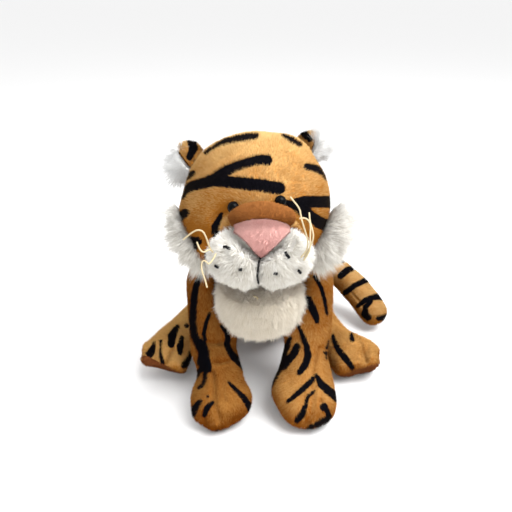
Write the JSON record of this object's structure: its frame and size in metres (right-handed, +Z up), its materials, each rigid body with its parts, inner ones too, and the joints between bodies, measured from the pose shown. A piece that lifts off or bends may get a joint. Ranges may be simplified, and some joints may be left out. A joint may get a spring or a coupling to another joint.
{
  "type": "plush tiger",
  "caption": "Sitting stuffed tiger toy whose head nods and turns, legs swing, tail wags and ears fold.",
  "frame": {"origin": "middle of the flat spot under the seat, on the surface the toy sits on", "axes": "+Z up, the tiger faces -Y, +X is its own left side"},
  "size_m": [0.2275, 0.2256, 0.2103],
  "materials": {
    "black_plastic": "polished black",
    "brown_plush": "short brown plush",
    "cream_thread": "twisted cream thread",
    "orange_plush": "short golden orange plush with black stripes",
    "pellets": "plastic pellets in a cloth bag",
    "pink_plush": "short dusty pink plush",
    "sole_plush": "short brown plush",
    "stuffing": "polyester fibre filling",
    "washer_plastic": "plain moulded",
    "white_pile": "white long pile"
  },
  "bodies": {
    "torso": {"torso_cover": "orange_plush", "torso_stuffing": "stuffing", "pellet_bag": "pellets", "chest_bib": "white_pile"},
    "neck": {"neck_stuffing": "orange_plush"},
    "head": {"cheek_ruff_left": "white_pile", "cheek_ruff_right": "white_pile", "eye_left": "black_plastic", "eye_right": "black_plastic", "eye_washer_left": "washer_plastic", "eye_washer_right": "washer_plastic", "head_cover": "orange_plush", "head_stuffing": "stuffing", "muzzle_cheek_left": "white_pile", "muzzle_cheek_right": "white_pile", "muzzle_top": "orange_plush", "nose_bridge": "brown_plush", "nose_patch": "pink_plush", "whisker_left_lower": "cream_thread", "whisker_left_middle": "cream_thread", "whisker_left_upper": "cream_thread", "whisker_right_lower": "cream_thread", "whisker_right_middle": "cream_thread", "whisker_right_upper": "cream_thread"},
    "tail": {"tail_cover": "orange_plush", "tail_stuffing": "stuffing"},
    "foreleg_left": {"foreleg_left_cover": "orange_plush", "foreleg_left_stuffing": "stuffing"},
    "hind_leg_left": {"hind_leg_left_cover": "orange_plush", "hind_leg_left_stuffing": "stuffing", "hind_sole_left": "sole_plush"},
    "ear_left": {"ear_left": "orange_plush", "ear_fluff_left": "white_pile"},
    "foreleg_right": {"foreleg_right_cover": "orange_plush", "foreleg_right_stuffing": "stuffing"},
    "hind_leg_right": {"hind_leg_right_cover": "orange_plush", "hind_leg_right_stuffing": "stuffing", "hind_sole_right": "sole_plush"},
    "ear_right": {"ear_right": "orange_plush", "ear_fluff_right": "white_pile"}
  },
  "joints": [
    {"name": "head_nod", "type": "hinge", "parent": "torso", "child": "neck", "pos_m": [0, -0.055, 0.092], "axis": [1, 0, 0], "range_deg": [-15, 8]},
    {"name": "head_turn", "type": "hinge", "parent": "neck", "child": "head", "pos_m": [0, -0.055, 0.092], "axis": [0, 0, 1], "range_deg": [-25, 25]},
    {"name": "tail_wag", "type": "hinge", "parent": "torso", "child": "tail", "pos_m": [0.013, 0.042, 0.05], "axis": [0, 0, 1], "range_deg": [-2, 25]},
    {"name": "foreleg_swing_left", "type": "hinge", "parent": "torso", "child": "foreleg_left", "pos_m": [0.0335, -0.067, 0.093], "axis": [-1, 0, 0], "range_deg": [-10, 40]},
    {"name": "foreleg_swing_right", "type": "hinge", "parent": "torso", "child": "foreleg_right", "pos_m": [-0.0335, -0.067, 0.093], "axis": [-1, 0, 0], "range_deg": [-10, 40]},
    {"name": "hind_leg_swing_left", "type": "hinge", "parent": "torso", "child": "hind_leg_left", "pos_m": [0.0395, -0.008, 0.03], "axis": [-1, 0, 0], "range_deg": [-10, 30]},
    {"name": "hind_leg_swing_right", "type": "hinge", "parent": "torso", "child": "hind_leg_right", "pos_m": [-0.0395, -0.008, 0.03], "axis": [-1, 0, 0], "range_deg": [-10, 30]},
    {"name": "ear_fold_left", "type": "hinge", "parent": "head", "child": "ear_left", "pos_m": [0.03848, -0.03998, 0.17836], "axis": [-0.3155, 0.7597, -0.5686], "range_deg": [0, 25]},
    {"name": "ear_fold_right", "type": "hinge", "parent": "head", "child": "ear_right", "pos_m": [-0.04744, -0.03998, 0.16781], "axis": [-0.4437, -0.7597, 0.4754], "range_deg": [0, 25]}
  ]
}
